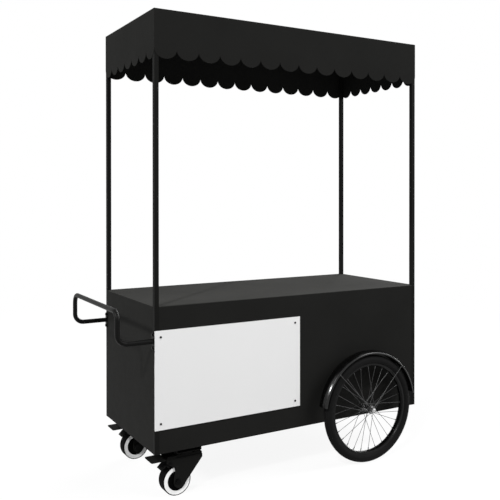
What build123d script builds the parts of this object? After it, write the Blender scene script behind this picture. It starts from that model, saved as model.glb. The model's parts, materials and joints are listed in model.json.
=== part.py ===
from build123d import *
from math import acos, atan2, cos, hypot, radians, sin, sqrt
import os

# Vending cart: a sheet-steel cabinet on two spoked wheels and two braked casters,
# with four uprights that carry a flat canopy edged with scallops.
# Millimetres, +Z up, +X towards the spoked wheels, the customers' side faces -Y.
# The origin is on the ground, at the middle of the cart's footprint.

os.makedirs("parts", exist_ok=True)

# Cabinet
cabinet_length = 1400.0
cabinet_depth = 600.0
cabinet_height = 600.0
ground_clearance = 200.0
sheet = 1.5
bend_radius = 1.2
panel_gap = 0.8
top_flange = 15.0
bottom_flange = 10.0
counter_sheet = 2.0
counter_back_flange = 30.0
shelf_height = 335.0
shelf_flange = 20.0

# Floor frame
rail_size = 30.0
rail_wall = 2.0
caster_beam_width = 110.0
caster_beam_height = 18.0
deck_over_axle = 12.0
axle_bracket_plate = 6.0
axle_bracket_width = 70.0
axle_bracket_eye = 36.0

# Uprights and canopy
post_size = 19.0
post_wall = 1.5
canopy_rise = 1205.0
canopy_sheet = 1.0
valance_height = 160.0
scallop_depth = 40.0
scallop_count_long = 14
scallop_count_short = 7

# Sign board
sign_width = 704.0
sign_height = 404.0
sign_thickness = 3.0
sign_lift = 98.0
sign_screw_inset = 26.0
sign_screw_shank = 4.0
sign_screw_length = 12.0
sign_screw_head = 9.0
sign_screw_head_height = 2.5
sign_screw_head_round = 1.5

# Push handle
handle_tube = 20.0
handle_wall = 1.5
handle_reach = 153.0
handle_mount_height = 460.0
handle_rise = 131.0
handle_bend = 40.0
handle_plate_width = 22.0
handle_plate_height = 72.0
handle_plate_thickness = 4.0
handle_bolt_spacing = 52.0
handle_bolt = 6.0
handle_bolt_length = 16.0
handle_bolt_head = 11.5
handle_bolt_head_height = 4.0

# Spoked wheels
wheel_diameter = 500.0
wheel_setback = 350.0
wheel_offset = 62.0
tyre_width = 44.0
tread_groove_width = 2.0
tread_groove_depth = 1.5
tread_groove_count = 4
tread_arc = 64.0
rim_width = 30.0
rim_height = 13.0
rim_side = 8.0
rim_bed_depth = 39.0
spoke_count = 28
spoke_cross = 2
spoke_diameter = 2.2
spoke_hole = 2.8
spoke_head = 4.0
spoke_head_height = 1.2
nipple_diameter = 4.4
nipple_length = 12.0
hub_length = 60.0
hub_barrel = 32.0
hub_waist = 22.0
hub_bore = 14.0
hub_flange_diameter = 42.0
hub_flange_thickness = 3.0
hub_flange_spacing = 46.0
hub_hole_circle = 36.0
bearing_diameter = 28.0
bearing_width = 8.0
axle_shaft = 20.0
axle_journal = 12.0
axle_chamfer = 1.0
axle_nut_across = 19.0
axle_nut_height = 10.0
axle_past_nut = 3.0

# Mudguards
fender_gap = 8.0
fender_width = 56.0
fender_side = 6.0
fender_crown = 8.0
fender_round = 5.0
fender_sheet = 1.5
fender_arc = 162.0
stay_wire = 3.0
stay_eye = 24.0
stay_pad = 7.0
stay_angle = 45.0

# Casters
caster_wheel_diameter = 125.0
caster_tread_width = 50.0
caster_tread_round = 2.4
caster_setback = 160.0
caster_inset = 64.0
caster_trail = 44.0
caster_plate_length = 105.0
caster_plate_width = 78.0
caster_plate_thickness = 6.0
caster_plate_corner = 8.0
caster_bolt_spacing_x = 80.0
caster_bolt_spacing_y = 54.0
caster_bolt = 8.0
caster_bolt_length = 18.0
caster_bolt_head = 13.0
caster_bolt_head_height = 5.5
king_pin = 14.0
king_pin_head = 24.0
king_pin_head_height = 5.0
raceway_top = 76.0
raceway_bottom = 70.0
raceway_height = 7.2
raceway_lip = 3.0
fork_plate = 4.0
fork_head = 18.0
fork_head_back = 60.0
fork_shoulder = 12.0
fork_side_gap = 4.0
fork_front = 69.0
fork_rear = 92.0
fork_toe_drop = 25.0
fork_heel_drop = 29.0
fork_elbow_back = 54.0
fork_elbow_drop = 53.0
fork_foot_radius = 25.0
fork_foot_forward = 8.0
fork_foot_below = 5.0
fork_corner = 6.0
caster_axle = 12.0
caster_axle_head = 19.0
caster_axle_head_height = 7.0
caster_axle_past_nut = 2.0
caster_tread_depth = 10.5
caster_lip = 4.0
caster_flange = 2.5
caster_web = 16.0
caster_hub = 22.0
caster_band = 16.5
guard_thickness = 3.0
guard_round = 2.0

# Brakes
pedal_sheet = 4.0
pedal_drop = 8.0
pedal_length = 163.0
pedal_root = 96.0
pedal_width = 78.0
pedal_corner = 6.0
pedal_neck_width = 42.0
pedal_pivot_back = 77.0
pedal_pivot_drop = 27.0
pedal_swing = 15.0
pedal_boss = 16.0
pedal_pin = 6.0
pedal_pin_head = 11.0
pedal_pin_head_height = 2.5
shoe_angle = 18.0
release_length = 45.0
release_angle = 217.0

# Fits
seam = 0.5
body_gap = 0.3
hole_clearance = 0.2
running_clearance = 0.05

# Planes and heights that follow from the sizes
overall_length = cabinet_length + handle_reach + handle_tube / 2 + canopy_sheet
left = overall_length / 2 - canopy_sheet - cabinet_length
right = left + cabinet_length
middle_x = (left + right) / 2
front = -cabinet_depth / 2
back = cabinet_depth / 2
bottom = ground_clearance
counter = bottom + cabinet_height
panel_top = counter - counter_sheet
panel_height = panel_top - bottom
roof = counter + canopy_rise
post_top = roof - canopy_sheet
canopy_length = cabinet_length + 2 * canopy_sheet
panel_inset = post_size + panel_gap
rail_bottom = bottom + sheet
rail_top = rail_bottom + rail_size
wheel_x = right - wheel_setback
axle_height = wheel_diameter / 2
deck_top = axle_height + axle_shaft / 2 + deck_over_axle
wheel_sides = {"front": -1, "back": 1}
rim_outer = wheel_diameter / 2 - rim_bed_depth
rim_inner = rim_outer - rim_height
fender_lip = wheel_diameter / 2 + fender_gap
inner_eye = wheel_offset - hub_length / 2 - body_gap - stay_wire
outer_eye = wheel_offset + hub_length / 2 + body_gap
outer_nut = outer_eye + stay_wire
caster_x = left + caster_setback
caster_sides = {"front": front + caster_inset, "rear": back - caster_inset}
caster_radius = caster_wheel_diameter / 2
beam_bottom = rail_bottom - caster_beam_height
plate_bottom = beam_bottom - caster_plate_thickness
fork_top = plate_bottom - body_gap - raceway_height
fork_inner = caster_tread_width / 2 + fork_side_gap
fork_outer = fork_inner + fork_plate


def save(piece, name):
    """Label a finished piece and write it to its own file."""
    piece.part.label = name
    export_step(piece.part, f"parts/{name}.step")


def plane_at(origin, across, along):
    """A sketch plane that draws across one direction and extrudes along another."""
    return Plane(origin=origin, x_dir=across, z_dir=along)


def cut_box(low, high):
    """Cut the box between two corners out of the part being built."""
    middle = tuple((a + b) / 2 for a, b in zip(low, high))
    size = [b - a for a, b in zip(low, high)]
    with Locations(middle):
        Box(*size, mode=Mode.SUBTRACT)


def tube(plane, width, height, wall, length):
    """A rectangular tube along the plane's normal, with its section centred on the origin."""
    with BuildPart() as piece:
        with BuildSketch(plane):
            Rectangle(width, height)
            Rectangle(width - 2 * wall, height - 2 * wall, mode=Mode.SUBTRACT)
        extrude(amount=length)
    return piece


# Floor frame
def caster_bolt_holes():
    """The bolt holes of both casters, as one tool to cut with."""
    with BuildPart() as holes:
        with BuildSketch(Plane.XY.offset(plate_bottom)):
            for y in caster_sides.values():
                with Locations((caster_x, y)):
                    with GridLocations(caster_bolt_spacing_x, caster_bolt_spacing_y, 2, 2):
                        Circle(caster_bolt / 2 + hole_clearance)
        extrude(amount=caster_bolt_length)
    return holes


def build_floor_frame():
    """Two long rails, two cross rails between them, and a wide beam under them that carries the casters."""
    rail_middle = rail_bottom + rail_size / 2
    long_length = cabinet_length - 2 * post_size
    cross_start = front + sheet + rail_size
    cross_length = -2 * cross_start
    inset = sheet + rail_size / 2
    beam_middle = beam_bottom + caster_beam_height / 2
    beam_length = cabinet_depth - 2 * (bottom_flange + seam)

    for name, y in (("front", front + inset), ("back", back - inset)):
        start = plane_at((left + post_size, y, rail_middle), (0, 1, 0), (1, 0, 0))
        save(tube(start, rail_size, rail_size, rail_wall, long_length), f"base_rail_{name}")

    for name, x in (("left", left + inset), ("right", right - inset)):
        start = plane_at((x, cross_start, rail_middle), (1, 0, 0), (0, 1, 0))
        save(tube(start, rail_size, rail_size, rail_wall, cross_length), f"base_rail_{name}")

    start = plane_at((caster_x, -beam_length / 2, beam_middle), (1, 0, 0), (0, 1, 0))
    with BuildPart() as beam:
        add(tube(start, caster_beam_width, caster_beam_height, rail_wall, beam_length).part)
        add(caster_bolt_holes().part, mode=Mode.SUBTRACT)
    save(beam, "caster_beam")


def build_axle_brackets():
    """A gusset on each long rail, tapered from the rail up to an eye around the axle."""
    rail_face = cabinet_depth / 2 - sheet - rail_size
    rail_drop = axle_height - rail_bottom - rail_size / 2
    with BuildPart() as brackets:
        for side in wheel_sides.values():
            with BuildSketch(plane_at((wheel_x, side * rail_face, axle_height), (side, 0, 0), (0, -side, 0))):
                Circle(axle_bracket_eye / 2)
                with Locations((0, -rail_drop)):
                    Rectangle(axle_bracket_width, rail_size)
                make_hull()
                Circle(axle_shaft / 2 + running_clearance, mode=Mode.SUBTRACT)
            extrude(amount=axle_bracket_plate)
    save(brackets, "axle_brackets")


# Cabinet panels
def folded_panel(plane, length):
    """A sheet panel whose top and bottom edges are folded inwards, along the plane's x direction."""
    with BuildPart() as panel:
        with BuildSketch(plane) as section:
            with BuildLine():
                Polyline(
                    (0, 0),
                    (bottom_flange, 0),
                    (bottom_flange, sheet),
                    (sheet, sheet),
                    (sheet, panel_height - sheet),
                    (top_flange, panel_height - sheet),
                    (top_flange, panel_height),
                    (0, panel_height),
                    close=True,
                )
            make_face()
            fillet(section.vertices().group_by(Axis.X)[0], bend_radius)
        extrude(amount=length)
    return panel


def build_front_panel():
    """The customers' side between the uprights, with holes for the axle and the sign's screws."""
    start = plane_at((left + panel_inset, front, bottom), (0, 1, 0), (1, 0, 0))
    with BuildPart() as panel:
        add(folded_panel(start, cabinet_length - 2 * panel_inset).part)
        with BuildSketch(plane_at((0, front, 0), (1, 0, 0), (0, -1, 0))):
            with Locations((wheel_x, axle_height)):
                Circle(axle_shaft / 2 + body_gap)
            with Locations(*sign_screw_places()):
                Circle(sign_screw_shank / 2 + hole_clearance)
        extrude(amount=-sheet, mode=Mode.SUBTRACT)
    save(panel, "front_panel")


def build_end_panel(name, outer_x, inward):
    length = cabinet_depth - 2 * panel_inset
    start = plane_at((outer_x, inward * length / 2, bottom), (inward, 0, 0), (0, -inward, 0))
    save(folded_panel(start, length), name)


def build_back_skirt():
    """The low folded sheet that hides the floor frame on the vendor's side."""
    length = cabinet_length - 2 * panel_inset
    with BuildPart() as skirt:
        with BuildSketch(plane_at((middle_x - length / 2, back, bottom), (0, 1, 0), (1, 0, 0))):
            with BuildLine():
                Polyline(
                    (0, 0),
                    (0, deck_top - bottom),
                    (-sheet, deck_top - bottom),
                    (-sheet, sheet),
                    (-bottom_flange, sheet),
                    (-bottom_flange, 0),
                    close=True,
                )
            make_face()
        extrude(amount=length)
        with BuildSketch(plane_at((0, back, 0), (1, 0, 0), (0, -1, 0))):
            with Locations((wheel_x, axle_height)):
                Circle(axle_shaft / 2 + body_gap)
        extrude(amount=sheet, mode=Mode.SUBTRACT)
    save(skirt, "back_skirt")


# Trays inside the cabinet
def tray(top, drop, edge_gap):
    """A sheet tray, open below, that fills the cabinet between its panels and clears the uprights."""
    length = cabinet_length - 2 * (sheet + edge_gap)
    width = cabinet_depth - 2 * (sheet + edge_gap)
    notch = post_size + seam - sheet - edge_gap
    base = plane_at((middle_x, 0, top - drop), (1, 0, 0), (0, 0, 1))
    with BuildPart() as piece:
        with BuildSketch(base):
            Rectangle(length, width)
        extrude(amount=drop)
        fillet(piece.edges().group_by(Axis.Z)[-1], bend_radius)
        with BuildSketch(base):
            Rectangle(length - 2 * sheet, width - 2 * sheet)
        extrude(amount=drop - sheet, mode=Mode.SUBTRACT)
        with BuildSketch(base):
            with GridLocations(length, width, 2, 2):
                Rectangle(2 * notch, 2 * notch)
        extrude(amount=drop, mode=Mode.SUBTRACT)
    return piece


def build_floor_deck():
    """The cabinet's floor: a tray that stands on the rails and straddles the axle."""
    half_slot = axle_shaft / 2 + seam
    slot_top = axle_height + half_slot
    with BuildPart() as deck:
        add(tray(deck_top, deck_top - rail_top, seam).part)
        cut_box((wheel_x - half_slot, front, rail_top), (wheel_x + half_slot, back, slot_top))
    save(deck, "floor_deck")


def build_shelf():
    save(tray(bottom + shelf_height, shelf_flange, 0), "shelf")


def build_counter_top():
    """The counter: a sheet over the panels' folds, bent down at the back between the uprights."""
    notch = post_size + seam
    flange_length = cabinet_length - 2 * notch
    with BuildPart() as top:
        with BuildSketch(plane_at((middle_x, 0, panel_top), (1, 0, 0), (0, 0, 1))):
            Rectangle(cabinet_length, cabinet_depth)
            with GridLocations(cabinet_length, cabinet_depth, 2, 2):
                Rectangle(2 * notch, 2 * notch, mode=Mode.SUBTRACT)
        extrude(amount=counter_sheet)
        with BuildSketch(plane_at((middle_x, back, counter), (1, 0, 0), (0, -1, 0))):
            with Locations((0, -counter_back_flange / 2)):
                Rectangle(flange_length, counter_back_flange)
        extrude(amount=counter_sheet)
    save(top, "counter_top")


# Uprights and canopy
def build_posts():
    """Square uprights at the corners, of which the left pair is drilled for the handle's bolts."""
    inset = post_size / 2
    outer_wall = plane_at((left, 0, 0), (0, 1, 0), (1, 0, 0))
    for side, x in (("left", left + inset), ("right", right - inset)):
        for face, y in (("front", front + inset), ("back", back - inset)):
            foot = plane_at((x, y, bottom), (1, 0, 0), (0, 0, 1))
            with BuildPart() as post:
                add(tube(foot, post_size, post_size, post_wall, post_top - bottom).part)
                if side == "left":
                    with BuildSketch(outer_wall):
                        with Locations(*handle_bolt_places()):
                            Circle(handle_bolt / 2 + hole_clearance)
                    extrude(amount=post_wall, mode=Mode.SUBTRACT)
            save(post, f"post_{face}_{side}")


def build_canopy_rails():
    """Tubes that join the tops of the uprights, under the canopy's sheet."""
    inset = post_size / 2
    level = post_top - inset
    long_length = cabinet_length - 2 * post_size
    short_length = cabinet_depth - 2 * post_size
    for name, y in (("front", front + inset), ("back", back - inset)):
        start = plane_at((left + post_size, y, level), (0, 1, 0), (1, 0, 0))
        save(tube(start, post_size, post_size, post_wall, long_length), f"canopy_rail_{name}")
    for name, x in (("left", left + inset), ("right", right - inset)):
        start = plane_at((x, front + post_size, level), (1, 0, 0), (0, 1, 0))
        save(tube(start, post_size, post_size, post_wall, short_length), f"canopy_rail_{name}")


def build_canopy_top():
    with BuildPart() as cover:
        with BuildSketch(plane_at((middle_x, 0, post_top), (1, 0, 0), (0, 0, 1))):
            Rectangle(canopy_length, cabinet_depth + 2 * canopy_sheet)
        extrude(amount=canopy_sheet)
    save(cover, "canopy_top")


def valance(plane, width, scallop_count):
    """A sheet that hangs from the canopy's edge, with a row of scallops along its foot."""
    pitch = width / scallop_count
    drop = valance_height - canopy_sheet
    with BuildPart() as piece:
        with BuildSketch(plane):
            with Locations((0, -drop / 2)):
                Rectangle(width, drop)
            with Locations((0, -drop)):
                with GridLocations(pitch, pitch, scallop_count, 1):
                    Ellipse(pitch / 2, scallop_depth)
        extrude(amount=canopy_sheet)
    return piece


def build_valances():
    for name, y in (("front", front), ("back", back + canopy_sheet)):
        plane = plane_at((middle_x, y, post_top), (1, 0, 0), (0, -1, 0))
        save(valance(plane, canopy_length, scallop_count_long), f"valance_{name}")
    for name, x in (("left", left - canopy_sheet), ("right", right)):
        plane = plane_at((x, 0, post_top), (0, 1, 0), (1, 0, 0))
        save(valance(plane, cabinet_depth, scallop_count_short), f"valance_{name}")


# Sign board
def sign_screw_places():
    """The x and z of each screw of the sign board."""
    low_z = bottom + sign_lift + sign_screw_inset
    high_z = bottom + sign_lift + sign_height - sign_screw_inset
    columns = (left + sign_screw_inset, left + sign_width - sign_screw_inset)
    return [(x, z) for x in columns for z in (low_z, high_z)]


def build_sign():
    with BuildPart() as board:
        with BuildSketch(plane_at((0, front, 0), (1, 0, 0), (0, -1, 0))):
            with Locations((left + sign_width / 2, bottom + sign_lift + sign_height / 2)):
                Rectangle(sign_width, sign_height)
            with Locations(*sign_screw_places()):
                Circle(sign_screw_shank / 2 + hole_clearance, mode=Mode.SUBTRACT)
        extrude(amount=sign_thickness)
    save(board, "sign_panel")


def build_sign_screws():
    face = plane_at((0, front - sign_thickness, 0), (1, 0, 0), (0, -1, 0))
    with BuildPart() as screws:
        with BuildSketch(face):
            with Locations(*sign_screw_places()):
                Circle(sign_screw_head / 2)
        extrude(amount=sign_screw_head_height)
        fillet(screws.edges().group_by(Axis.Y)[0], sign_screw_head_round)
        with BuildSketch(face):
            with Locations(*sign_screw_places()):
                Circle(sign_screw_shank / 2)
        extrude(amount=-sign_screw_length)
    save(screws, "sign_screws")


# Push handle
def handle_arms():
    """The y of each arm of the handle, whose plates lie on the uprights, flush with their outer edges."""
    inset = handle_plate_width / 2
    return (front + inset, back - inset)


def handle_bolt_places():
    """The y and z of each bolt of the handle."""
    level = bottom + handle_mount_height
    half = handle_bolt_spacing / 2
    return [(y, level + step) for y in handle_arms() for step in (-half, half)]


def build_handle():
    """One bent tube, with a rounded plate welded to each end."""
    near_y, far_y = handle_arms()
    plate_face = left - handle_plate_thickness
    grip_x = left - handle_reach
    arm_z = bottom + handle_mount_height
    grip_z = arm_z + handle_rise
    with BuildPart() as handle:
        with BuildLine() as route:
            FilletPolyline(
                (plate_face, near_y, arm_z),
                (grip_x, near_y, arm_z),
                (grip_x, near_y, grip_z),
                (grip_x, far_y, grip_z),
                (grip_x, far_y, arm_z),
                (plate_face, far_y, arm_z),
                radius=handle_bend,
            )
        with BuildSketch(plane_at((plate_face, near_y, arm_z), (0, 1, 0), (-1, 0, 0))):
            Circle(handle_tube / 2)
            Circle(handle_tube / 2 - handle_wall, mode=Mode.SUBTRACT)
        sweep(path=route.line)
        with BuildSketch(plane_at((left, 0, 0), (0, 1, 0), (1, 0, 0))):
            with Locations((near_y, arm_z), (far_y, arm_z)):
                SlotOverall(handle_plate_height, handle_plate_width, rotation=90)
            with Locations(*handle_bolt_places()):
                Circle(handle_bolt / 2 + hole_clearance, mode=Mode.SUBTRACT)
        extrude(amount=-handle_plate_thickness)
    save(handle, "handle")


def build_handle_bolts():
    """Bolts through the handle's plates, each with its nut inside an upright."""
    plate_face = plane_at((left - handle_plate_thickness, 0, 0), (0, 1, 0), (1, 0, 0))
    nut_face = plane_at((left + post_wall, 0, 0), (0, 1, 0), (1, 0, 0))
    with BuildPart() as bolts:
        with BuildSketch(plate_face):
            with Locations(*handle_bolt_places()):
                RegularPolygon(handle_bolt_head / 2, 6)
        extrude(amount=-handle_bolt_head_height)
        with BuildSketch(plate_face):
            with Locations(*handle_bolt_places()):
                Circle(handle_bolt / 2)
        extrude(amount=handle_bolt_length)
        with BuildSketch(nut_face):
            with Locations(*handle_bolt_places()):
                RegularPolygon(handle_bolt_head / 2, 6)
                Circle(handle_bolt / 2 + running_clearance, mode=Mode.SUBTRACT)
        extrude(amount=handle_bolt_head_height)
    save(bolts, "handle_bolts")


# Axle
def wheel_plane(side):
    """A spoked wheel's middle plane, with y up and its normal away from the cabinet."""
    origin = (wheel_x, side * (cabinet_depth / 2 + wheel_offset), axle_height)
    return plane_at(origin, (-side, 0, 0), (0, side, 0))


def wheel_section(side, angle=90.0):
    """A plane through a spoked wheel's axis, with x along the axle and y along a radius."""
    origin = (wheel_x, side * (cabinet_depth / 2 + wheel_offset), axle_height)
    turn = radians(angle)
    return plane_at(origin, (0, 1, 0), (sin(turn), 0, -cos(turn)))


wheel_axis = Axis((wheel_x, 0, axle_height), (0, -1, 0))


def build_axle():
    """One shaft through both brackets, turned down to a journal for each wheel."""
    shaft_half = cabinet_depth / 2 + inner_eye
    journal_half = cabinet_depth / 2 + outer_nut + axle_nut_height + axle_past_nut
    middle = plane_at((wheel_x, 0, axle_height), (1, 0, 0), (0, -1, 0))
    with BuildPart() as axle:
        with BuildSketch(middle):
            Circle(axle_shaft / 2)
        extrude(amount=shaft_half, both=True)
        with BuildSketch(middle):
            Circle(axle_journal / 2)
        extrude(amount=journal_half, both=True)
        rounds = axle.edges().filter_by(GeomType.CIRCLE).group_by(Axis.Y)
        chamfer([*rounds[0], *rounds[-1]], axle_chamfer)
    save(axle, "axle")


def build_axle_nuts():
    with BuildPart() as nuts:
        for side in wheel_sides.values():
            with BuildSketch(wheel_plane(side).offset(outer_nut - wheel_offset)):
                RegularPolygon(axle_nut_across / sqrt(3), 6)
                Circle(axle_journal / 2 + running_clearance, mode=Mode.SUBTRACT)
            extrude(amount=axle_nut_height)
    save(nuts, "axle_nuts")


# Spoked wheels
def build_tyre(side, name):
    """A round tyre that sits in the rim, with grooves that run round its tread."""
    radius = tyre_width / 2
    first_groove = 90 - tread_arc / 2
    with BuildPart() as tyre:
        with BuildSketch(wheel_section(side)):
            with Locations((0, wheel_diameter / 2 - radius)):
                Circle(radius)
                with PolarLocations(radius, tread_groove_count, first_groove, tread_arc, endpoint=True):
                    Rectangle(2 * tread_groove_depth, tread_groove_width, mode=Mode.SUBTRACT)
            with Locations((0, rim_outer - radius)):
                Rectangle(tyre_width, tyre_width, mode=Mode.SUBTRACT)
        revolve(axis=wheel_axis)
    save(tyre, f"tyre_{name}")


def build_rim(side, name):
    """A rim with straight sides and a rounded spoke bed."""
    half = rim_width / 2
    side_foot = rim_outer - rim_side
    with BuildPart() as rim:
        with BuildSketch(wheel_section(side)):
            with BuildLine():
                Polyline((half, side_foot), (half, rim_outer), (-half, rim_outer), (-half, side_foot))
                ThreePointArc((-half, side_foot), (0, rim_inner), (half, side_foot))
            make_face()
        revolve(axis=wheel_axis)
    save(rim, f"rim_{name}")


def spoke_start(flange, lean):
    """The angle of the first hole on a flange for the spokes that lean one way."""
    step = 360 / (spoke_count / 2)
    return (step if lean > 0 else 0) + (step / 2 if flange > 0 else 0)


def build_hub(side, name):
    """A hub shell with a drilled flange at each end, waisted between them and bored for bearings."""
    half = hub_length / 2
    seat = half - bearing_width
    barrel = hub_barrel / 2
    rim_of_flange = hub_flange_diameter / 2
    flange_in = (hub_flange_spacing - hub_flange_thickness) / 2
    flange_out = flange_in + hub_flange_thickness
    seat_radius = bearing_diameter / 2 + running_clearance
    outer_end = [
        (flange_in, barrel),
        (flange_in, rim_of_flange),
        (flange_out, rim_of_flange),
        (flange_out, barrel),
        (half, barrel),
        (half, seat_radius),
        (seat, seat_radius),
        (seat, hub_bore / 2),
    ]
    inner_end = [(-along, radius) for along, radius in reversed(outer_end)]
    with BuildPart() as hub:
        with BuildSketch(wheel_section(side)):
            with BuildLine():
                Polyline(*outer_end, *inner_end)
                ThreePointArc((-flange_in, barrel), (0, hub_waist / 2), (flange_in, barrel))
            make_face()
        revolve(axis=wheel_axis)
        for flange in (-1, 1):
            with BuildSketch(wheel_plane(side).offset(flange * hub_flange_spacing / 2)):
                for lean in (-1, 1):
                    with PolarLocations(hub_hole_circle / 2, spoke_count // 4, spoke_start(flange, lean)):
                        Circle(spoke_hole / 2)
            extrude(amount=hub_flange_thickness / 2, both=True, mode=Mode.SUBTRACT)
    save(hub, f"hub_{name}")


def build_bearings(side, name):
    with BuildPart() as bearings:
        for start in (-hub_length / 2, hub_length / 2 - bearing_width):
            with BuildSketch(wheel_plane(side).offset(start)):
                Circle(bearing_diameter / 2)
                Circle(axle_journal / 2 + running_clearance, mode=Mode.SUBTRACT)
            extrude(amount=bearing_width)
    save(bearings, f"bearings_{name}")


def spoke(flange, lean):
    """One spoke in the wheel's own frame: a headed elbow in a flange, a long run and a nipple."""
    hook_side = flange * lean
    hook_height = hub_flange_thickness / 2 + spoke_diameter
    hook_length = hook_height + hub_flange_thickness / 2
    root = Vector(hub_hole_circle / 2, 0, flange * hub_flange_spacing / 2 + hook_side * hook_height)
    turn = radians(lean * spoke_cross * 360 / (spoke_count / 2))
    reach = rim_inner - seam
    tip = Vector(reach * cos(turn), reach * sin(turn), 0)
    run = tip - root
    through = Vector(0, 0, -hook_side)
    elbow = root - through * (spoke_diameter / 2)
    with BuildPart() as piece:
        with BuildSketch(Plane(origin=root, z_dir=run)):
            RegularPolygon(spoke_diameter / 2, 6)
        extrude(amount=run.length)
        with BuildSketch(Plane(origin=tip, z_dir=-run)):
            RegularPolygon(nipple_diameter / 2, 6)
        extrude(amount=nipple_length)
        with BuildSketch(Plane(origin=elbow, z_dir=through)):
            RegularPolygon(spoke_diameter / 2, 6)
        extrude(amount=hook_length + spoke_diameter / 2)
        with BuildSketch(Plane(origin=root + through * hook_length, z_dir=through)):
            RegularPolygon(spoke_head / 2, 6)
        extrude(amount=spoke_head_height)
    return piece


def build_spokes(side, name):
    """Crossed spokes: half of each flange's lean forwards, half lean back."""
    with BuildPart(wheel_plane(side)) as spokes:
        for flange in (-1, 1):
            for lean in (-1, 1):
                one = spoke(flange, lean)
                with PolarLocations(0, spoke_count // 4, spoke_start(flange, lean)):
                    add(one.part)
    save(spokes, f"spokes_{name}")


# Mudguards
def build_fender(side, name):
    """A rolled mudguard: a crowned band with straight sides, over the top of the wheel."""
    outer = fender_width / 2
    inner = outer - fender_sheet
    shoulder = fender_lip + fender_side
    crown = shoulder + fender_crown
    with BuildPart() as fender:
        with BuildSketch(wheel_section(side, (180 - fender_arc) / 2)) as section:
            with BuildLine():
                Polyline((-inner, shoulder), (-inner, fender_lip), (-outer, fender_lip), (-outer, shoulder))
                ThreePointArc((-outer, shoulder), (0, crown), (outer, shoulder))
                Polyline((outer, shoulder), (outer, fender_lip), (inner, fender_lip), (inner, shoulder))
                ThreePointArc((inner, shoulder), (0, crown - fender_sheet), (-inner, shoulder))
            make_face()
            bends = section.vertices().filter_by_position(Axis.Y, shoulder - seam, shoulder + seam)
            bends = bends.sort_by(Axis.X)
            fillet([bends[0], bends[-1]], fender_round)
            fillet(bends[1:-1], fender_round - fender_sheet)
        revolve(axis=wheel_axis, revolution_arc=fender_arc)
    save(fender, f"fender_{name}")


def build_fender_stays():
    """Wire stays: an eye on the axle and two wires to pads on the mudguard, on both sides of each wheel."""
    wire = stay_wire / 2
    pad_radius = fender_lip + fender_side / 2
    wall = fender_width / 2
    eye_edge = stay_eye / 2 - wire
    with BuildPart() as stays:
        for side in wheel_sides.values():
            plane = wheel_plane(side)
            for eye, outward in ((inner_eye, -1), (outer_eye, 1)):
                with BuildSketch(plane.offset(eye - wheel_offset)):
                    Circle(stay_eye / 2)
                    Circle(axle_journal / 2 + running_clearance, mode=Mode.SUBTRACT)
                extrude(amount=stay_wire)
                for angle in (radians(stay_angle), radians(180 - stay_angle)):
                    across, up = cos(angle), sin(angle)
                    level = eye - wheel_offset + wire
                    root = plane.from_local_coords((eye_edge * across, eye_edge * up, level))
                    level = outward * (wall + wire + running_clearance)
                    tip = plane.from_local_coords((pad_radius * across, pad_radius * up, level))
                    with BuildSketch(Plane(origin=root, z_dir=tip - root)):
                        Circle(wire)
                    extrude(amount=(tip - root).length)
                    with BuildSketch(plane.offset(outward * wall)):
                        with Locations((pad_radius * across, pad_radius * up)):
                            Circle(stay_pad / 2)
                    extrude(amount=outward * stay_wire)
    save(stays, "fender_stays")


# Casters
def caster_side(y, x=0.0, z=0.0):
    """A side-on plane through a caster's middle, with x measured from its swivel axis and y up."""
    return plane_at((caster_x + x, y, z), (1, 0, 0), (0, -1, 0))


def caster_section(y):
    """A plane through a caster wheel's axis, with x along the axle and y along a radius."""
    return plane_at((caster_x - caster_trail, y, caster_radius), (0, 1, 0), (1, 0, 0))


def caster_wheel_axis(y):
    return Axis((caster_x - caster_trail, y, caster_radius), (0, 1, 0))


def build_caster_plates():
    """The top plate of each caster, with its headed king pin."""
    pin_head_top = fork_top - fork_head - body_gap
    with BuildPart() as plates:
        for y in caster_sides.values():
            with BuildSketch(plane_at((caster_x, y, plate_bottom), (1, 0, 0), (0, 0, 1))):
                RectangleRounded(caster_plate_length, caster_plate_width, caster_plate_corner)
                with GridLocations(caster_bolt_spacing_x, caster_bolt_spacing_y, 2, 2):
                    Circle(caster_bolt / 2 + hole_clearance, mode=Mode.SUBTRACT)
            extrude(amount=caster_plate_thickness)
            with BuildSketch(plane_at((caster_x, y, pin_head_top), (1, 0, 0), (0, 0, 1))):
                Circle(king_pin / 2)
            extrude(amount=plate_bottom - pin_head_top)
            with BuildSketch(plane_at((caster_x, y, pin_head_top), (1, 0, 0), (0, 0, 1))):
                Circle(king_pin_head / 2)
            extrude(amount=-king_pin_head_height)
    save(plates, "caster_plates")


def build_caster_bolts():
    """Bolts from below, through each caster's plate into the beam."""
    with BuildPart() as bolts:
        for y in caster_sides.values():
            under = plane_at((caster_x, y, plate_bottom), (1, 0, 0), (0, 0, 1))
            with BuildSketch(under):
                with GridLocations(caster_bolt_spacing_x, caster_bolt_spacing_y, 2, 2):
                    RegularPolygon(caster_bolt_head / sqrt(3), 6)
            extrude(amount=-caster_bolt_head_height)
            with BuildSketch(under):
                with GridLocations(caster_bolt_spacing_x, caster_bolt_spacing_y, 2, 2):
                    Circle(caster_bolt / 2)
            extrude(amount=caster_bolt_length)
    save(bolts, "caster_bolts")


def touch_point(point, centre, radius, turn):
    """Where a line from a point touches a circle, on the side that the turn's sign picks."""
    across, up = point[0] - centre[0], point[1] - centre[1]
    angle = atan2(up, across) + turn * acos(radius / hypot(across, up))
    return (centre[0] + radius * cos(angle), centre[1] + radius * sin(angle))


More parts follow.
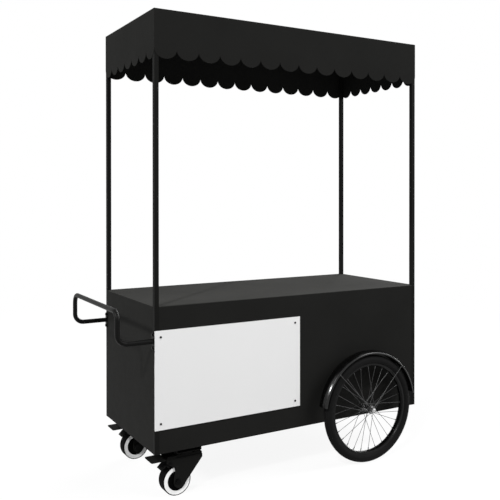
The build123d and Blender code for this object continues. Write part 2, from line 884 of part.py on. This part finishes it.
def build_fork(name, y):
    """A fork: cheeks that trail back to the axle, welded to a head that holds the swivel race."""
    axle_place = (-caster_trail, caster_radius)
    foot = (fork_foot_forward - caster_trail, caster_radius - fork_foot_below)
    toe = (fork_front, fork_top - fork_toe_drop)
    elbow = (-fork_elbow_back, fork_top - fork_elbow_drop)
    heel = (-fork_rear, fork_top - fork_heel_drop)
    foot_front = touch_point(toe, foot, fork_foot_radius, -1)
    foot_rear = touch_point(elbow, foot, fork_foot_radius, 1)
    head_bottom = fork_top - fork_head
    head_length = fork_front + fork_head_back
    head_middle = (fork_front - fork_head_back) / 2
    shoulder_back = fork_head_back - 2 * fork_plate
    shoulder_length = fork_front + shoulder_back
    shoulder_middle = (fork_front - shoulder_back) / 2
    tail_length = fork_rear - fork_head_back
    tail_middle = -(fork_rear + fork_head_back) / 2
    raceway_end = fork_top + raceway_height
    with BuildPart() as fork:
        with BuildSketch(caster_side(y)) as outline:
            with BuildLine():
                Polyline(
                    foot_rear,
                    elbow,
                    heel,
                    (-fork_rear, fork_top),
                    (fork_front, fork_top),
                    toe,
                    foot_front,
                )
                ThreePointArc(foot_front, (foot[0], foot[1] - fork_foot_radius), foot_rear)
            make_face()
            upper = outline.vertices().filter_by_position(Axis.Y, elbow[1] - seam, fork_top + seam)
            fillet(upper, fork_corner)
        extrude(amount=fork_outer, both=True)
        with BuildSketch(caster_side(y)):
            with Locations((head_middle, head_bottom / 2)):
                Rectangle(head_length, head_bottom)
            with Locations((tail_middle, fork_top / 2)):
                Rectangle(tail_length, fork_top)
        extrude(amount=fork_inner, both=True, mode=Mode.SUBTRACT)
        for outward in (-1, 1):
            with BuildSketch(caster_side(y).offset(outward * fork_inner)):
                with Locations((shoulder_middle, fork_top - fork_shoulder / 2)):
                    Rectangle(shoulder_length, fork_shoulder)
            extrude(amount=outward * fork_plate, mode=Mode.SUBTRACT)
        with BuildSketch(caster_side(y)):
            with BuildLine():
                Polyline(
                    (0, fork_top),
                    (raceway_bottom / 2, fork_top),
                    (raceway_top / 2, raceway_end - raceway_lip),
                    (raceway_top / 2, raceway_end),
                    (0, raceway_end),
                    close=True,
                )
            make_face()
        revolve(axis=Axis((caster_x, y, 0), (0, 0, 1)))
        with BuildSketch(plane_at((caster_x, y, head_bottom), (1, 0, 0), (0, 0, 1))):
            Circle(king_pin / 2 + running_clearance)
        extrude(amount=raceway_end - head_bottom, mode=Mode.SUBTRACT)
        with BuildSketch(caster_side(y)):
            with Locations(axle_place):
                Circle(caster_axle / 2 + running_clearance)
            with Locations((-pedal_pivot_back, fork_top - pedal_pivot_drop)):
                Circle(pedal_pin / 2 + running_clearance)
        extrude(amount=fork_outer, both=True, mode=Mode.SUBTRACT)
    save(fork, f"caster_{name}_fork")


def build_caster_pins(name, y):
    """The wheel's bolt with its nut, and the brake pedal's riveted pin."""
    axle = caster_side(y, -caster_trail, caster_radius)
    pivot = caster_side(y, -pedal_pivot_back, fork_top - pedal_pivot_drop)
    shank_end = fork_outer + caster_axle_head_height + caster_axle_past_nut
    with BuildPart() as pins:
        with BuildSketch(axle.offset(fork_outer)):
            RegularPolygon(caster_axle_head / sqrt(3), 6)
        extrude(amount=caster_axle_head_height)
        with BuildSketch(axle.offset(fork_outer)):
            Circle(caster_axle / 2)
        extrude(amount=-fork_outer - shank_end)
        with BuildSketch(axle.offset(-fork_outer)):
            RegularPolygon(caster_axle_head / sqrt(3), 6)
            Circle(caster_axle / 2 + running_clearance, mode=Mode.SUBTRACT)
        extrude(amount=-caster_axle_head_height)
        with BuildSketch(pivot):
            Circle(pedal_pin / 2)
        extrude(amount=fork_outer, both=True)
        for outward in (-1, 1):
            with BuildSketch(pivot.offset(outward * fork_outer)):
                Circle(pedal_pin_head / 2)
            extrude(amount=outward * pedal_pin_head_height)
    save(pins, f"caster_{name}_pins")


caster_face = caster_tread_width / 2 - seam
caster_bed = caster_radius - caster_tread_depth
caster_lip_radius = caster_radius - caster_lip
guard_radius = caster_lip_radius - caster_band
guard_seat = caster_face - guard_thickness / 2


def build_caster_tyre(name, y):
    """A tread that is keyed between the rim's flanges and spreads out over them."""
    half = caster_tread_width / 2
    neck = caster_face - caster_flange
    with BuildPart() as tyre:
        with BuildSketch(caster_section(y)) as section:
            with BuildLine():
                Polyline(
                    (-neck, caster_bed),
                    (neck, caster_bed),
                    (neck, caster_lip_radius),
                    (half, caster_lip_radius),
                    (half, caster_radius),
                    (-half, caster_radius),
                    (-half, caster_lip_radius),
                    (-neck, caster_lip_radius),
                    close=True,
                )
            make_face()
            fillet(section.vertices().group_by(Axis.Y)[-1], caster_tread_round)
        revolve(axis=caster_wheel_axis(y))
    save(tyre, f"caster_{name}_tyre")


def build_caster_rim(name, y):
    """A moulded rim: a hub, a web, and a channel that holds the tread."""
    neck = caster_face - caster_flange
    hub_end = fork_inner - body_gap
    ring = guard_radius - guard_thickness
    outer_side = [
        (neck, caster_bed),
        (neck, caster_lip_radius),
        (caster_face, caster_lip_radius),
        (caster_face, guard_radius),
        (guard_seat, guard_radius),
        (guard_seat, ring),
        (caster_web / 2, ring),
        (caster_web / 2, caster_hub / 2),
        (hub_end, caster_hub / 2),
        (hub_end, caster_axle / 2 + running_clearance),
    ]
    inner_side = [(-along, radius) for along, radius in reversed(outer_side)]
    with BuildPart() as rim:
        with BuildSketch(caster_section(y)):
            with BuildLine():
                Polyline(*outer_side, *inner_side, close=True)
            make_face()
        revolve(axis=caster_wheel_axis(y))
    save(rim, f"caster_{name}_rim")


def build_caster_guards(name, y):
    """A thread guard let into each side of the rim."""
    middle = caster_side(y, -caster_trail, caster_radius)
    with BuildPart() as guards:
        for outward in (-1, 1):
            with BuildSketch(middle.offset(outward * guard_seat)):
                Circle(guard_radius - hole_clearance)
                Circle(caster_hub / 2 + hole_clearance, mode=Mode.SUBTRACT)
            extrude(amount=outward * guard_thickness)
        rounds = guards.edges().filter_by(GeomType.CIRCLE).sort_by(SortBy.RADIUS)[-4:].group_by(Axis.Y)
        fillet([*rounds[0], *rounds[-1]], guard_round)
    save(guards, f"caster_{name}_guards")


# Brakes
def build_brake_pedal(name, y):
    """A tread plate on a neck, with a shoe above the tyre and a tapered tab to kick it free."""
    pivot = (-pedal_pivot_back, fork_top - pedal_pivot_drop)
    boss = pedal_boss / 2
    plate_top = fork_top - pedal_drop
    plate_bottom_z = plate_top - pedal_sheet
    to_wheel = (-caster_trail - pivot[0], caster_radius - pivot[1])
    shoe_reach = hypot(*to_wheel) - caster_radius - body_gap
    shoe_front = atan2(to_wheel[1], to_wheel[0]) - radians(pedal_swing)
    shoe_back = shoe_front - radians(shoe_angle)
    shoe_middle = (shoe_front + shoe_back) / 2

    def from_pivot(angle, reach):
        return (pivot[0] + reach * cos(angle), pivot[1] + reach * sin(angle))

    with BuildPart() as pedal:
        with BuildSketch(caster_side(y)):
            with Locations(pivot):
                Circle(boss)
            with Locations(from_pivot(radians(release_angle), release_length)):
                Circle(pedal_sheet / 2)
            make_hull()
            with BuildLine():
                Polyline(
                    (-pedal_root, plate_bottom_z),
                    (-pedal_root, plate_top),
                    (pivot[0], plate_top),
                    (pivot[0] + boss, pivot[1]),
                    (pivot[0] - boss, pivot[1]),
                    close=True,
                )
            make_face()
            with BuildLine():
                Line((pivot[0] + boss, pivot[1]), from_pivot(shoe_front, shoe_reach))
                ThreePointArc(
                    from_pivot(shoe_front, shoe_reach),
                    from_pivot(shoe_middle, shoe_reach),
                    from_pivot(shoe_back, shoe_reach),
                )
                Line(from_pivot(shoe_back, shoe_reach), (pivot[0] - boss, pivot[1]))
                Line((pivot[0] - boss, pivot[1]), (pivot[0] + boss, pivot[1]))
            make_face()
            with Locations(pivot):
                Circle(pedal_pin / 2 + running_clearance, mode=Mode.SUBTRACT)
        extrude(amount=pedal_neck_width / 2, both=True)
        plate_middle = caster_x - (pedal_length + pedal_root) / 2
        with BuildSketch(plane_at((plate_middle, y, plate_bottom_z), (1, 0, 0), (0, 0, 1))):
            RectangleRounded(pedal_length - pedal_root, pedal_width, pedal_corner)
        extrude(amount=pedal_sheet)
    save(pedal, f"caster_{name}_pedal")


# Every piece in turn
build_floor_frame()
build_axle_brackets()
build_front_panel()
build_end_panel("left_end_panel", left, 1)
build_end_panel("right_end_panel", right, -1)
build_back_skirt()
build_floor_deck()
build_shelf()
build_counter_top()
build_posts()
build_canopy_rails()
build_canopy_top()
build_valances()
build_sign()
build_sign_screws()
build_handle()
build_handle_bolts()
build_axle()
build_axle_nuts()
build_fender_stays()
build_caster_plates()
build_caster_bolts()
for wheel_name, wheel_side in wheel_sides.items():
    build_tyre(wheel_side, wheel_name)
    build_rim(wheel_side, wheel_name)
    build_hub(wheel_side, wheel_name)
    build_bearings(wheel_side, wheel_name)
    build_spokes(wheel_side, wheel_name)
    build_fender(wheel_side, wheel_name)
for caster_name, caster_y in caster_sides.items():
    build_fork(caster_name, caster_y)
    build_caster_pins(caster_name, caster_y)
    build_caster_tyre(caster_name, caster_y)
    build_caster_rim(caster_name, caster_y)
    build_caster_guards(caster_name, caster_y)
    build_brake_pedal(caster_name, caster_y)
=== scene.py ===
import json
from math import cos, pi, radians, sin

import bmesh
import bpy
from mathutils import Matrix, Vector


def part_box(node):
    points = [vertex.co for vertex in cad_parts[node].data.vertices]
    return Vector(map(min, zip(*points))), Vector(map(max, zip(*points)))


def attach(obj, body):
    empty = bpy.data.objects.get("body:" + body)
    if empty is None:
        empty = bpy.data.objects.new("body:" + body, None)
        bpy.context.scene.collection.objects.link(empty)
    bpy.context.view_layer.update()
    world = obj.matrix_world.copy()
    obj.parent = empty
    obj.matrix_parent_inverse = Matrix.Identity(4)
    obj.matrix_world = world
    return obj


# Vending cart: finishes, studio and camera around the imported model. Metres, in the frame of the model.
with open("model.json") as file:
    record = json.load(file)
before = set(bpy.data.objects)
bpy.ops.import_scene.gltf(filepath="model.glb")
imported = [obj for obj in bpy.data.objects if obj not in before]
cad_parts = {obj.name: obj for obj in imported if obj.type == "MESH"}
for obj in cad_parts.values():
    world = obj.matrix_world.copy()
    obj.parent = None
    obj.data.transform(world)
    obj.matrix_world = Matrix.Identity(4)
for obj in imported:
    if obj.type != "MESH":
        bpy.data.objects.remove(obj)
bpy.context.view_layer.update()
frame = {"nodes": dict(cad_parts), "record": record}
nodes = frame["nodes"]

# Most of a cloudy pattern lies between these two values
cloud_low = 0.3
cloud_high = 0.7

# Paint is a little warm: its blue is this share of its red and green
paint_blue = 0.955


# Short ways to join shader nodes
def feed(tree, socket, value):
    """Join a socket to another one, or give it a number or colour."""
    if isinstance(value, bpy.types.NodeSocket):
        tree.links.new(value, socket)
    else:
        socket.default_value = value


def add(tree, kind, inputs, **settings):
    """A new node with its settings made and its inputs fed."""
    node = tree.nodes.new(kind)
    for key, value in settings.items():
        setattr(node, key, value)
    for key, value in inputs.items():
        feed(tree, node.inputs[key], value)
    return node


def surface_place(tree):
    """The place on a piece, in metres. It stays with the piece when the piece moves."""
    return add(tree, "ShaderNodeTexCoord", {}).outputs["Object"]


def stretched(tree, place, along):
    """The place scaled along each axis, so that a pattern runs out into streaks."""
    return add(tree, "ShaderNodeMapping", {"Vector": place, "Scale": along}).outputs["Vector"]


def length(tree, place):
    """How far a place is from the zero point."""
    return add(tree, "ShaderNodeVectorMath", {0: place}, operation="LENGTH").outputs["Value"]


def maths(tree, operation, first, second):
    """One step of arithmetic on two numbers."""
    return add(tree, "ShaderNodeMath", {0: first, 1: second}, operation=operation).outputs[0]


def noise(tree, place, spots, detail):
    """A cloudy pattern with about so many spots to the metre."""
    inputs = {"Vector": place, "Scale": spots, "Detail": detail}
    return add(tree, "ShaderNodeTexNoise", inputs).outputs["Fac"]


def number_over(tree, value, start, end, low, high):
    """A number that runs from low to high while the value runs from start to end."""
    inputs = {"Value": value, "From Min": start, "From Max": end, "To Min": low, "To Max": high}
    return add(tree, "ShaderNodeMapRange", inputs).outputs["Result"]


def number_around(tree, pattern, middle, spread):
    """A number that follows a cloudy pattern, as far either way from its middle value as the spread."""
    return number_over(tree, pattern, cloud_low, cloud_high, middle - spread, middle + spread)


def colour_between(tree, pattern, low, high):
    """A colour that runs from low to high over the usual range of a cloudy pattern."""
    ramp = add(tree, "ShaderNodeValToRGB", {"Fac": pattern})
    for stop, position, colour in zip(ramp.color_ramp.elements, (cloud_low, cloud_high), (low, high)):
        stop.position = position
        stop.color = colour
    return ramp.outputs["Color"]


def bump(tree, height, depth):
    """A normal for a surface whose height runs over this depth, in metres."""
    inputs = {"Height": height, "Distance": depth, "Strength": 1.0}
    return add(tree, "ShaderNodeBump", inputs).outputs["Normal"]


def mixed(tree, share, first, second):
    """Two shaders in one, of which the second has this share."""
    inputs = {0: share, 1: first.outputs[0], 2: second.outputs[0]}
    return add(tree, "ShaderNodeMixShader", inputs).outputs[0]


def grey(level, blue=1.0):
    """A grey colour, with its blue as a share of its red and green."""
    return (level, level, level * blue, 1.0)


# Finishes
def new_material(name, **constants):
    """A material with one shader, whose named inputs get numbers that hold all over the surface."""
    material = bpy.data.materials.new(name)
    material.use_nodes = True
    tree = material.node_tree
    shader = tree.nodes["Principled BSDF"]
    for key, value in constants.items():
        shader.inputs[key.replace("_", " ")].default_value = value
    return material, tree, shader


def dress(tree, shader, colour, roughness, normal):
    """Give a shader the colour, roughness and normal that vary over the surface."""
    feed(tree, shader.inputs["Base Color"], colour)
    feed(tree, shader.inputs["Roughness"], roughness)
    feed(tree, shader.inputs["Normal"], normal)


def powder_coat(name, shade, roughness, specular):
    """Baked powder paint: a fine orange peel, with faint clouds in its colour and gloss."""
    dark_share = 0.93
    pale_share = 1.07
    roughness_spread = 0.03
    peel_depth = 0.00003
    material, tree, shader = new_material(name, Specular_IOR_Level=specular)
    place = surface_place(tree)
    clouds = noise(tree, place, spots=4.0, detail=4.0)
    patches = noise(tree, place, spots=35.0, detail=3.0)
    peel = noise(tree, place, spots=600.0, detail=2.0)
    dark = grey(shade * dark_share, paint_blue)
    pale = grey(shade * pale_share, paint_blue)
    dress(
        tree,
        shader,
        colour=colour_between(tree, clouds, dark, pale),
        roughness=number_around(tree, patches, roughness, roughness_spread),
        normal=bump(tree, peel, peel_depth),
    )
    return material


def metal(name, shade, roughness, streak):
    """Bare metal with fine streaks from drawing, turning or plating."""
    dark_share = 0.85
    pale_share = 1.1
    roughness_share = 0.25
    streak_depth = 0.00002
    material, tree, shader = new_material(name, Metallic=1.0)
    place = surface_place(tree)
    clouds = noise(tree, place, spots=60.0, detail=3.0)
    streaks = noise(tree, stretched(tree, place, streak), spots=1.0, detail=3.0)
    dress(
        tree,
        shader,
        colour=colour_between(tree, clouds, grey(shade * dark_share), grey(shade * pale_share)),
        roughness=number_around(tree, streaks, roughness, roughness * roughness_share),
        normal=bump(tree, streaks, streak_depth),
    )
    return material


def plastic(name, shade, roughness, specular):
    """Moulded plastic with a faint grain."""
    dark_share = 0.97
    roughness_spread = 0.04
    grain_depth = 0.00003
    material, tree, shader = new_material(name, Specular_IOR_Level=specular)
    place = surface_place(tree)
    clouds = noise(tree, place, spots=12.0, detail=3.0)
    grain = noise(tree, place, spots=1500.0, detail=2.0)
    dress(
        tree,
        shader,
        colour=colour_between(tree, clouds, grey(shade * dark_share), grey(shade)),
        roughness=number_around(tree, clouds, roughness, roughness_spread),
        normal=bump(tree, grain, grain_depth),
    )
    return material


def sign_board(name, shade, roughness, specular):
    """A coated white board, a little uneven in its gloss."""
    dark_share = 0.985
    roughness_spread = 0.04
    grain_depth = 0.00002
    material, tree, shader = new_material(name, Specular_IOR_Level=specular)
    place = surface_place(tree)
    clouds = noise(tree, place, spots=3.0, detail=3.0)
    grain = noise(tree, place, spots=900.0, detail=2.0)
    dress(
        tree,
        shader,
        colour=colour_between(tree, clouds, grey(shade * dark_share), grey(shade)),
        roughness=number_around(tree, clouds, roughness, roughness_spread),
        normal=bump(tree, grain, grain_depth),
    )
    return material


def wheel_place(tree, hub):
    """The place in a wheel's own plane, measured from the middle of its hub."""
    low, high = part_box(hub)
    middle = (low + high) / 2
    inputs = {
        "Vector": surface_place(tree),
        "Scale": (1.0, 0.0, 1.0),
        "Rotation": (-pi / 2, 0.0, 0.0),
        "Location": (-middle.x, -middle.z, 0.0),
    }
    return add(tree, "ShaderNodeMapping", inputs).outputs["Vector"]


def tyre_relief(tree, place, hub, cuts, tread_radius):
    """Height on a tyre, in depths of a cut: mould rings and grain all over, and cuts across the tread."""
    ring_width = 0.0015
    ring_height = 0.3
    half_cut = 0.1
    half_pitch = 0.5
    flat = wheel_place(tree, hub)
    radius = length(tree, flat)
    turn = add(tree, "ShaderNodeTexGradient", {"Vector": flat}, gradient_type="RADIAL").outputs["Fac"]
    grain = noise(tree, place, spots=800.0, detail=3.0)
    rings = maths(tree, "MULTIPLY", maths(tree, "PINGPONG", radius, ring_width), ring_height / ring_width)
    from_cut = maths(tree, "PINGPONG", maths(tree, "MULTIPLY", turn, cuts), half_pitch)
    in_cut = maths(tree, "LESS_THAN", from_cut, half_cut)
    on_tread = maths(tree, "GREATER_THAN", radius, tread_radius)
    cut = maths(tree, "MULTIPLY", in_cut, on_tread)
    return maths(tree, "SUBTRACT", maths(tree, "ADD", rings, grain), cut)


def rubber(name, shade, roughness, specular, hub, cuts, tread_radius):
    """Rubber with mould rings, and with fine cuts across its tread."""
    dark_share = 0.8
    pale_share = 1.2
    roughness_spread = 0.07
    cut_depth = 0.0002
    material, tree, shader = new_material(name, Specular_IOR_Level=specular)
    place = surface_place(tree)
    clouds = noise(tree, place, spots=25.0, detail=4.0)
    dress(
        tree,
        shader,
        colour=colour_between(tree, clouds, grey(shade * dark_share), grey(shade * pale_share)),
        roughness=number_around(tree, clouds, roughness, roughness_spread),
        normal=bump(tree, tyre_relief(tree, place, hub, cuts, tread_radius), cut_depth),
    )
    return material


# How close a metal's streaks lie along X, Y and Z, to the metre
even_streaks = (900.0, 900.0, 900.0)
axle_streaks = (900.0, 40.0, 900.0)
spoke_streaks = (300.0, 900.0, 300.0)
turned_streaks = (60.0, 2500.0, 60.0)

# Both spoked wheels turn about one line, so the front hub places the relief on both tyres
finishes = {
    "panel_paint": powder_coat("panel_paint", shade=0.0129, roughness=0.5, specular=0.007),
    # The counter takes the panels' black paint at about two and a half times its shade: painted light, for
    # the top's brighter look.
    "counter_paint": powder_coat("counter_paint", shade=0.0322, roughness=0.85, specular=0.005),
    "canopy_paint": powder_coat("canopy_paint", shade=0.0133, roughness=0.62, specular=0.006),
    "frame_paint": powder_coat("frame_paint", shade=0.0088, roughness=0.45, specular=0.015),
    "handle_paint": powder_coat("handle_paint", shade=0.004, roughness=0.42, specular=0.055),
    "fender_paint": powder_coat("fender_paint", shade=0.001, roughness=0.2, specular=0.32),
    "rim_black": powder_coat("rim_black", shade=0.001, roughness=0.3, specular=0.15),
    "caster_paint": powder_coat("caster_paint", shade=0.0085, roughness=0.6, specular=0.015),
    "sign_white": sign_board("sign_white", shade=0.718, roughness=0.46, specular=0.3),
    "dark_fasteners": metal("dark_fasteners", shade=0.005, roughness=0.5, streak=even_streaks),
    "zinc_steel": metal("zinc_steel", shade=0.45, roughness=0.3, streak=axle_streaks),
    # Stay, spoke and hub metals are set far darker than bare steel and alloy: painted shade, for darker
    # surroundings in their reflections.
    "stay_steel": metal("stay_steel", shade=0.07, roughness=0.3, streak=even_streaks),
    "spoke_steel": metal("spoke_steel", shade=0.07, roughness=0.25, streak=spoke_streaks),
    "hub_alloy": metal("hub_alloy", shade=0.15, roughness=0.28, streak=turned_streaks),
    "bearing_steel": metal("bearing_steel", shade=0.5, roughness=0.2, streak=turned_streaks),
    "caster_tread": plastic("caster_tread", shade=0.003, roughness=0.65, specular=0.01),
    "caster_white": plastic("caster_white", shade=0.9, roughness=0.4, specular=0.4),
    "caster_guard": plastic("caster_guard", shade=0.0015, roughness=0.6, specular=0.01),
    "tyre_rubber": rubber(
        "tyre_rubber",
        shade=0.0047,
        roughness=0.69,
        specular=0.055,
        hub="hub_front",
        cuts=90.0,
        tread_radius=0.243,
    ),
}
for part in frame["record"]["subparts"]:
    piece = nodes[part["node"]]
    piece.data.materials.clear()
    piece.data.materials.append(finishes[part["material_slot"]])
    piece.data.shade_smooth()


# Sealant in the seams between the panels and the uprights
def bead_outline(start, end, out):
    """The outline of a bead across a seam, a little below the panels: hollowed in front and flat behind."""
    steps = 6
    edge_sunk = 0.0003
    hollow = 0.0002
    thickness = 0.0012
    outline = []
    for step in range(steps + 1):
        across = step / steps
        sunk = edge_sunk + hollow * sin(pi * across)
        outline.append(start.lerp(end, across) - out * sunk)
    outline.append(end - out * thickness)
    outline.append(start - out * thickness)
    return outline


def add_bead(beads, outline, foot, top):
    """A closed bead with this outline, from its foot to its top."""
    low_ring = [beads.verts.new((place.x, place.y, foot)) for place in outline]
    high_ring = [beads.verts.new((place.x, place.y, top)) for place in outline]
    beads.faces.new(low_ring)
    beads.faces.new(high_ring)
    for n in range(len(outline)):
        beads.faces.new((low_ring[n - 1], low_ring[n], high_ring[n], high_ring[n - 1]))


def build_sealant():
    """One bead for each seam of the front, the ends and the skirt at the back."""
    lengthwise = Vector((1.0, 0.0, 0.0))
    crosswise = Vector((0.0, 1.0, 0.0))
    seams = (
        ("front_panel", lengthwise, -crosswise),
        ("back_skirt", lengthwise, crosswise),
        ("left_end_panel", crosswise, -lengthwise),
        ("right_end_panel", crosswise, lengthwise),
    )
    first_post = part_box("post_front_left")[1]
    last_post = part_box("post_back_right")[0]
    beads = bmesh.new()
    for panel, along, out in seams:
        low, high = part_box(panel)
        face = out * max(out.dot(low), out.dot(high))
        for post_corner, panel_corner in ((first_post, low), (last_post, high)):
            start = face + along * along.dot(post_corner)
            end = face + along * along.dot(panel_corner)
            add_bead(beads, bead_outline(start, end, out), low.z, high.z)
    bmesh.ops.recalc_face_normals(beads, faces=beads.faces)
    mesh = bpy.data.meshes.new("seam_sealant")
    beads.to_mesh(mesh)
    beads.free()
    mesh.materials.append(finishes["frame_paint"])
    sealant = bpy.data.objects.new("seam_sealant", mesh)
    bpy.context.scene.collection.objects.link(sealant)
    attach(sealant, "cart")


build_sealant()


# Studio
white = grey(1.0)
lamps_aim = Vector((0.05, 0.0, 0.8))


def seen_directly(tree):
    """1 for a ray from the camera, by way of gloss or glass too, and 0 for one that only brings light."""
    path = add(tree, "ShaderNodeLightPath", {})
    straight = maths(tree, "MAXIMUM", path.outputs["Is Camera Ray"], path.outputs["Is Glossy Ray"])
    return maths(tree, "MAXIMUM", straight, path.outputs["Is Transmission Ray"])


def build_world(strength):
    """A white backdrop to the eye, which gives a dimmer light of this strength."""
    world = bpy.data.worlds.new("studio")
    world.use_nodes = True
    tree = world.node_tree
    tree.nodes.clear()
    glow = add(tree, "ShaderNodeBackground", {"Color": white, "Strength": strength})
    backdrop = add(tree, "ShaderNodeBackground", {"Color": white})
    add(tree, "ShaderNodeOutputWorld", {"Surface": mixed(tree, seen_directly(tree), glow, backdrop)})
    bpy.context.scene.world = world


def floor_finish(seen_shade, bounce_shade, whiteness, near, far):
    """A pale board that throws back less light than it shows, and fades to plain white from near to far."""
    material = bpy.data.materials.new("floor")
    material.use_nodes = True
    tree = material.node_tree
    tree.nodes.clear()
    seen = seen_directly(tree)
    distance = length(tree, surface_place(tree))
    shade = number_over(tree, seen, start=0.0, end=1.0, low=bounce_shade, high=seen_shade)
    whitening = number_over(tree, distance, start=near, end=far, low=whiteness, high=1.0)
    board = add(tree, "ShaderNodeBsdfDiffuse", {"Color": shade})
    plain = add(tree, "ShaderNodeEmission", {"Color": white})
    plain_share = maths(tree, "MULTIPLY", seen, whitening)
    add(tree, "ShaderNodeOutputMaterial", {"Surface": mixed(tree, plain_share, board, plain)})
    return material


def build_floor(size, finish):
    """A square floor that runs into the backdrop and keeps a faint shadow."""
    half = size / 2
    corners = [(-half, -half, 0.0), (half, -half, 0.0), (half, half, 0.0), (-half, half, 0.0)]
    mesh = bpy.data.meshes.new("floor")
    mesh.from_pydata(corners, [], [(0, 1, 2, 3)])
    mesh.materials.append(finish)
    floor = bpy.data.objects.new("floor", mesh)
    bpy.context.scene.collection.objects.link(floor)


def soft_light(name, azimuth, elevation, distance, size, level):
    """A square lamp aimed at the cart, which shows a white card that faces it at the given level."""
    turn = radians(azimuth)
    tilt = radians(elevation)
    towards = Vector((sin(turn) * cos(tilt), -cos(turn) * cos(tilt), sin(tilt)))
    lamp = bpy.data.lights.new(name, "AREA")
    lamp.shape = "SQUARE"
    lamp.size = size
    lamp.energy = level * pi ** 2 * distance ** 2
    light = bpy.data.objects.new(name, lamp)
    light.location = lamps_aim + towards * distance
    light.rotation_euler = towards.to_track_quat("Z", "Y").to_euler()
    bpy.context.scene.collection.objects.link(light)


pale_board = floor_finish(seen_shade=0.9, bounce_shade=0.35, whiteness=0.9, near=2.0, far=5.0)
build_world(strength=0.06)
build_floor(size=60.0, finish=pale_board)
soft_light("key", azimuth=-50.7, elevation=41.0, distance=15.5, size=0.6, level=0.42)
soft_light("key_soft", azimuth=-50.7, elevation=41.0, distance=15.5, size=4.0, level=0.26)
soft_light("left", azimuth=-92.0, elevation=30.0, distance=15.5, size=1.2, level=0.68)
soft_light("right", azimuth=48.0, elevation=30.0, distance=15.0, size=10.0, level=0.75)
soft_light("high_right", azimuth=62.0, elevation=50.0, distance=15.0, size=4.5, level=0.3)
soft_light("back", azimuth=118.0, elevation=14.0, distance=15.0, size=9.0, level=1.2)


# Camera: its place is measured from the counter's low front left corner
picture_pixels = 500.0
focal_pixels = 704.915
horizon_pixels = 199.6
yaw = radians(30.057)
pitch = radians(-0.294)
roll = radians(-0.023)
from_counter = Vector((-1.0885, -2.6497, 0.4774))

ahead = Vector((sin(yaw) * cos(pitch), cos(yaw) * cos(pitch), sin(pitch)))
level_right = Vector((cos(yaw), -sin(yaw), 0.0))
level_up = level_right.cross(ahead)
right = level_right * cos(roll) + level_up * sin(roll)
up = right.cross(ahead)
lens = bpy.data.cameras.new("camera")
lens.sensor_width = 36.0
lens.lens = lens.sensor_width * focal_pixels / picture_pixels
lens.shift_y = (horizon_pixels - picture_pixels / 2) / picture_pixels
camera = bpy.data.objects.new("camera", lens)
camera.matrix_world = Matrix((right, up, -ahead)).transposed().to_4x4()
camera.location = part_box("counter_top")[0] + from_counter
bpy.context.scene.collection.objects.link(camera)
bpy.context.scene.camera = camera
bpy.context.scene.view_settings.view_transform = "Standard"
